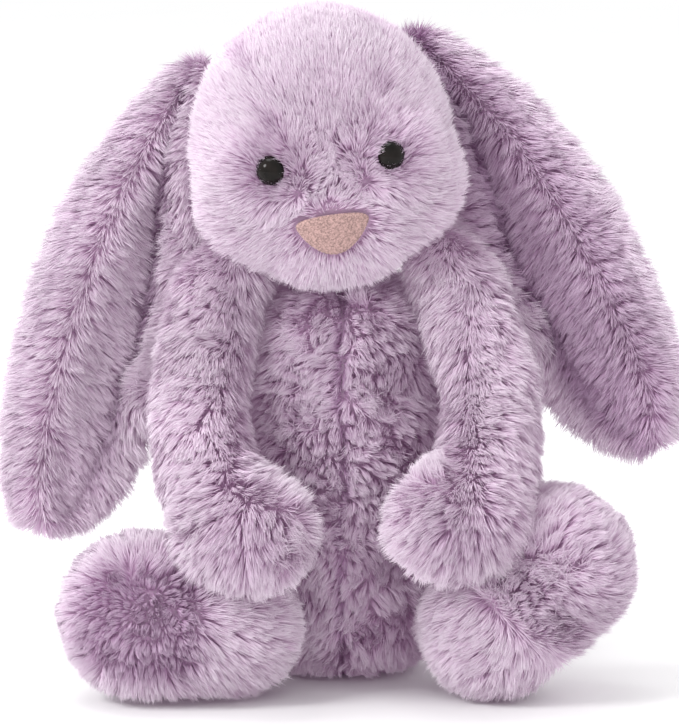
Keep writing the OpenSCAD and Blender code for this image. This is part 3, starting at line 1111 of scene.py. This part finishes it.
def lay_leg(name, side):
    """On the right foot the pile fans out from a short, upright, darker sole.
    On the left foot it parts at a crease."""
    centre = np_of(middle("foot_pouch_" + name))
    axes = np.array(foot_axes(name))
    sole_depth = 0.1 if side > 0 else 0.58

    def lay(points, normals):
        local = (points - centre) @ axes / MM
        outward = local[:, 0] * side
        sole = smoothstep(-4, -16, local[:, 1]) * smoothstep(-12, -2, outward)
        from_toe = local - np.array([side * 11.0, 0.0, 4.0 if side < 0 else 0.0])
        if side < 0:
            across = from_toe * np.array([1.0, 0.0, 1.0]) / 14.0
        else:
            away = np.tanh((outward + 6.0) / 5.0)
            across = np.stack([side * away, 0.0 * away, local[:, 2] / 75.0], 1)
        heading = across @ axes.T + np.array([side * 0.1, 0.0, -0.15])
        middle_of_sole = smoothstep(1.08, 0.75, np.hypot(from_toe[:, 0] / 27.0, from_toe[:, 2] / 18.0))
        painted_rim_light = smoothstep(0.55, 0.2, np.abs(normals[:, 1]))
        # painted rim light pales the edges seen side-on
        depth = sole_depth * sole * middle_of_sole + 0.06 - 0.36 * painted_rim_light
        nubbly = sole * middle_of_sole * (1.0 if side < 0 else 0.2)
        length = 0.84 - 0.36 * nubbly
        rise = 0.40 + 0.40 * nubbly
        unruly = 0.45 + 0.90 * nubbly
        return pile(heading, normals, length, rise, unruly, depth=depth)

    return lay


class PLUSH_OT_legs(bpy.types.Operator):
    """Stuffs the legs and feet and grows their fur"""

    bl_idname = "plush.legs"
    bl_label = "Legs"

    def execute(self, context):
        for name, side in SIDES:
            centre = middle("foot_pouch_" + name) + Vector((-side * 2.5, 0.0, 2.5 if side < 0 else 4.5)) * MM
            axes = foot_axes(name)
            hip = joint_place("hip_swing_" + name)
            shape = bmesh.new()
            add_ball(shape, centre, Vector((34.0, 20.5, 21.5)) * MM, axes)
            toe = centre + axes @ Vector((side * 12, 0, 1)) * MM
            add_ball(shape, toe, Vector((22.5, 21, 23)) * MM, axes)
            heel = centre + axes @ Vector((-side * 17, 2, -1)) * MM
            add_ball(shape, heel, Vector((19.5, 20.5, 19.5)) * MM, axes)
            add_limb(shape, (hip, heel), (12.5 * MM, 16 * MM), balls=4)
            skin = sew_and_stuff("leg_skin_" + name, shape, voxel=3.5 * MM, most=1.5 * MM, floor=1.0 * MM)
            panels = ("leg_fur_" + name, "foot_sole_" + name, "leg_filling_" + name)
            wear_stuffed(skin, "leg_" + name, 0.75, *panels)
            wear(grow_pile("leg_fur_pile_" + name, skin, lay_leg(name, side), 20 + int(side)), "leg_" + name)
        return {"FINISHED"}


# ---------------------------------------------------------------- ears


EAR_LENGTH = {"left": 157.0, "right": 162.0}  # millimetres
EAR_HANG = {"left": (-4.0, -33.5, -18.0), "right": (-4.0, -20.6, -16.0)}  # degrees about x, y and z
RIDGE_AT = 0.58  # across the ear: 0 is its middle line and 1 is its outer edge


def ear_axes(name, side):
    """The ear's own axes: x to its outer edge, y to its back, z towards its root."""
    turn = Euler([math.radians(a) for a in EAR_HANG[name]]).to_matrix()
    return Matrix.Diagonal((side, 1.0, 1.0)) @ turn


def ear_outer(t):
    """Distance from the middle line to the outer edge, in millimetres."""
    near_root = (1 - (1 - np.clip(t / 0.5, 0, 1)) ** 2) ** 0.9
    near_tip = np.sqrt(np.clip(1 - ((t - 0.5) / 0.5) ** 2, 0, 1))
    return 25.0 * np.where(t < 0.5, near_root, near_tip)


def ear_inner(t):
    """Distance from the middle line to the inner edge, wide where it folds beside the head."""
    near_root = 8.0 + 15.5 * smoothstep(0.0, 0.3, t) - 3.0 * smoothstep(0.45, 0.7, t)
    near_tip = np.sqrt(np.clip(1 - ((t - 0.75) / 0.25) ** 2, 0, 1))
    return near_root * np.where(t < 0.75, 1.0, near_tip)


def ear_valley(t):
    """Where the folded inner part starts, across the ear: far out at the root, further in towards the tip."""
    return 0.30 - 0.75 * smoothstep(0.0, 0.62, t)


def ear_depth(t, s):
    """How far the ear's middle surface stands back, in millimetres. t runs from 0 at the root
    to 1 at the tip, and s from -1 at the inner edge to 1 at the outer one."""
    open_out = smoothstep(0.9, 0.4, t)
    start = ear_valley(t)
    ridge = -5.0 * np.exp(-((s - RIDGE_AT) / 0.26) ** 2) * (0.5 + 0.5 * open_out)
    valley = 5.5 * np.exp(-((s - start) / 0.22) ** 2) * (0.3 + 0.7 * open_out)
    fold = -10.0 * smoothstep(start, start - 0.36, s) * open_out
    rim = 2.0 * smoothstep(0.6, 1.0, s)
    return ridge + valley + fold + rim


def ear_place(name, side, local):
    """Turns points in the ear's own axes, in millimetres, into the toy's."""
    axes = np.array(ear_axes(name, side))
    return np_of(joint_place("ear_lift_" + name)) + (local * MM) @ axes.T


def ear_local(name, side, points):
    """Turns points in the toy's axes into the ear's own, in millimetres."""
    axes = np.array(ear_axes(name, side))
    return (points - np_of(joint_place("ear_lift_" + name))) @ axes / MM


def lay_ear(name, side, front):
    """Towards the tip and away from the ridge, flat and long at the rim, with painted shade deepening the
    valley and the groove and painted rim light paling the edges.
    """
    axes = np.array(ear_axes(name, side))

    def lay(points, normals):
        local = ear_local(name, side, points)
        t = np.clip(-local[:, 2] / EAR_LENGTH[name], 0.0, 1.0)
        width = np.where(local[:, 0] > 0, ear_outer(t), ear_inner(t))
        s = np.clip(local[:, 0] / np.maximum(width, 3.0), -1.2, 1.2)
        down = -0.55 - 0.5 * smoothstep(0.8, 1.0, t)
        ridge_at = RIDGE_AT if front else 0.0
        valley_at = ear_valley(t)
        fold = smoothstep(valley_at - 0.12, valley_at - 0.30, s) * smoothstep(0.85, 0.6, t)
        away = np.tanh((s - ridge_at) / 0.12)
        away = away * (1.0 - fold) + 0.6 * fold if front else away
        heading = np.stack([away, 0.0 * s, down], 1) @ axes.T
        near_ridge = np.exp(-((s - ridge_at) / 0.12) ** 2)
        valley = np.exp(-((s - valley_at) / 0.22) ** 2) * smoothstep(1.1, 0.5, t)
        groove = np.exp(-((s - 0.84) / 0.07) ** 2)
        edge = smoothstep(0.58, 0.95, np.abs(s))
        length = 0.80 + 0.20 * edge - 0.22 * valley - 0.25 * groove
        rise = 0.44 + 0.20 * near_ridge - 0.14 * edge + 0.12 * valley
        unruly = 0.26 + 0.40 * valley + 0.30 * fold
        in_shade = 0.55 if side > 0 else 0.0  # stands for the shade that the left ear hangs in
        # painted shade in the valley and the groove, painted rim light at the edges; the ridge and the fold
        # are paler
        inside = 0.22 + in_shade + 0.60 * valley - 0.28 * near_ridge - 0.30 * fold
        inside += 0.45 * groove - (0.50 + in_shade) * edge
        # on the back, painted rim light at the edges
        depth = inside if front else -0.35 * edge
        return pile(heading, normals, length, rise, unruly, depth=np.clip(depth, -0.5, 1.0))

    return lay


class PLUSH_OT_ears(bpy.types.Operator):
    """Sews the two layers of each ear and grows their fur"""

    bl_idname = "plush.ears"
    bl_label = "Ears"

    def execute(self, context):
        for name, side in SIDES:
            shape = bmesh.new()
            rows, columns = 44, 18
            bmesh.ops.create_grid(shape, x_segments=columns, y_segments=rows, size=1.0)
            grid = np.array([v.co[:] for v in shape.verts])
            t = 0.5 - grid[:, 1] / 2
            t = 1.0 - (1.0 - t) ** 1.5
            s = grid[:, 0]
            x = np.where(s > 0, s * ear_outer(t), s * ear_inner(t))
            local = np.stack([x, ear_depth(t, s), -t * EAR_LENGTH[name]], 1)
            for vert, at in zip(shape.verts, ear_place(name, side, local)):
                vert.co = at
            bmesh.ops.remove_doubles(shape, verts=shape.verts, dist=0.2 * MM)
            bmesh.ops.recalc_face_normals(shape, faces=shape.faces)
            skin = place_piece("ear_skin_" + name, shape)
            wall = skin.modifiers.new("Two layers", "SOLIDIFY")
            wall.thickness = 4.0 * MM
            wall.offset = 0.0
            rounder = skin.modifiers.new("Rounder", "SUBSURF")
            rounder.levels = rounder.render_levels = 1
            apply_modifiers(skin)
            skin.data.shade_smooth()
            skin.data.materials.append(backing_material())
            ear_front = np.array(ear_axes(name, side))[:, 1]

            def facing_cover(front):
                def cover(points):
                    normals = np.empty(len(points) * 3, np.float32)
                    skin.data.vertices.foreach_get("normal", normals)
                    ahead = (normals.reshape(-1, 3) @ ear_front < 0).astype(float)
                    return ahead if front else 1.0 - ahead
                return cover

            furs = [grow_pile(f"ear_{layer}_fur_{name}", skin, lay_ear(name, side, front),
                              seed + int(side), facing_cover(front))
                    for layer, front, seed in (("front", True, 30), ("back", False, 40))]
            root = joint_place("ear_lift_" + name)
            along = Vector(ear_place(name, side, np.array([[0.0, 0.0, -1.0]]))[0]) - root
            along.normalize()
            for piece in (skin, *furs):
                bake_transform(piece)
            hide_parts("ear_back_" + name, "ear_front_" + name)
        return {"FINISHED"}


# ---------------------------------------------------------------- stage


def floor_material():
    """White studio floor with the faintest unevenness."""
    material, tree, shader = new_material("Studio floor")
    faint = texture(tree, "ShaderNodeTexNoise", Scale=3.0, Detail=2.0)
    white = ramp(tree, ((0.0, (0.90, 0.90, 0.905)), (1.0, (0.93, 0.93, 0.93))), faint.outputs["Fac"])
    tree.links.new(white.outputs["Color"], shader.inputs["Base Color"])
    set_inputs(shader, Roughness=0.9, Specular_IOR_Level=0.0)
    return material


def add_light(name, at, aim, size, power):
    """A round soft light at one place, turned to another."""
    lamp = bpy.data.lights.new(name, "AREA")
    lamp.shape = "DISK"
    lamp.size = size
    lamp.energy = power
    light = bpy.data.objects.new(name, lamp)
    light.location = at
    light.rotation_euler = (Vector(aim) - Vector(at)).to_track_quat("-Z", "Y").to_euler()
    bpy.context.scene.collection.objects.link(light)


class PLUSH_OT_stage(bpy.types.Operator):
    """Sets up the floor, the lights and the camera"""

    bl_idname = "plush.stage"
    bl_label = "Stage"

    def execute(self, context):
        scene = context.scene
        shape = bmesh.new()
        bmesh.ops.create_grid(shape, x_segments=8, y_segments=8, size=12.0)
        floor = place_piece("floor", shape)
        floor.data.materials.append(floor_material())

        world = bpy.data.worlds.new("Studio")
        world.use_nodes = True
        backdrop = next(n for n in world.node_tree.nodes if n.type == "BACKGROUND")
        backdrop.inputs["Color"].default_value = (1.0, 1.0, 1.0, 1.0)
        backdrop.inputs["Strength"].default_value = 1.08
        scene.world = world
        aim = (0.0, 0.0, 0.11)
        add_light("Key", (-1.0, -0.65, 0.95), aim, 0.5, 11.0)
        add_light("Top", (-0.2, 0.1, 1.3), aim, 0.7, 5.0)

        elevation, distance = math.radians(9.0), 1.3
        target = Vector((0.0, 0.0, 0.1067))
        lens = bpy.data.cameras.new("Camera")
        lens.sensor_width = 36.0
        view_height = 0.2481
        lens.lens = lens.sensor_width * distance / view_height
        camera = bpy.data.objects.new("Camera", lens)
        camera.location = target + Vector((0.0, -math.cos(elevation), math.sin(elevation))) * distance
        camera.rotation_euler = (target - camera.location).to_track_quat("-Z", "Y").to_euler()
        scene.collection.objects.link(camera)
        scene.camera = camera
        scene.view_settings.view_transform = "Standard"
        return {"FINISHED"}


# ---------------------------------------------------------------- panel and registration

OPERATORS = (
    PLUSH_OT_stage,
    PLUSH_OT_head,
    PLUSH_OT_nose,
    PLUSH_OT_body,
    PLUSH_OT_tail,
    PLUSH_OT_arms,
    PLUSH_OT_legs,
    PLUSH_OT_ears,
    PLUSH_OT_small_parts,
)


class PLUSH_PT_panel(bpy.types.Panel):
    """Buttons and values of the plush rabbit"""

    bl_idname = "PLUSH_PT_panel"
    bl_label = "Plush rabbit"
    bl_space_type = "VIEW_3D"
    bl_region_type = "UI"
    bl_category = "Plush"

    def draw(self, context):
        for name in PlushSettings.__annotations__:
            self.layout.prop(context.scene.plush_settings, name)
        for operator in OPERATORS:
            self.layout.operator(operator.bl_idname)


CLASSES = (PlushSettings, *OPERATORS, PLUSH_PT_panel)


def register():
    """Adds the settings, the operators and the panel to Blender."""
    for item in CLASSES:
        bpy.utils.register_class(item)
    bpy.types.Scene.plush_settings = bpy.props.PointerProperty(type=PlushSettings)


def unregister():
    """Takes them off again."""
    del bpy.types.Scene.plush_settings
    for item in reversed(CLASSES):
        bpy.utils.unregister_class(item)


def main():
    """Runs every operator in order."""
    register()
    for operator in OPERATORS:
        category, name = operator.bl_idname.split(".")
        getattr(getattr(bpy.ops, category), name)()


if __name__ == "__main__":
    main()
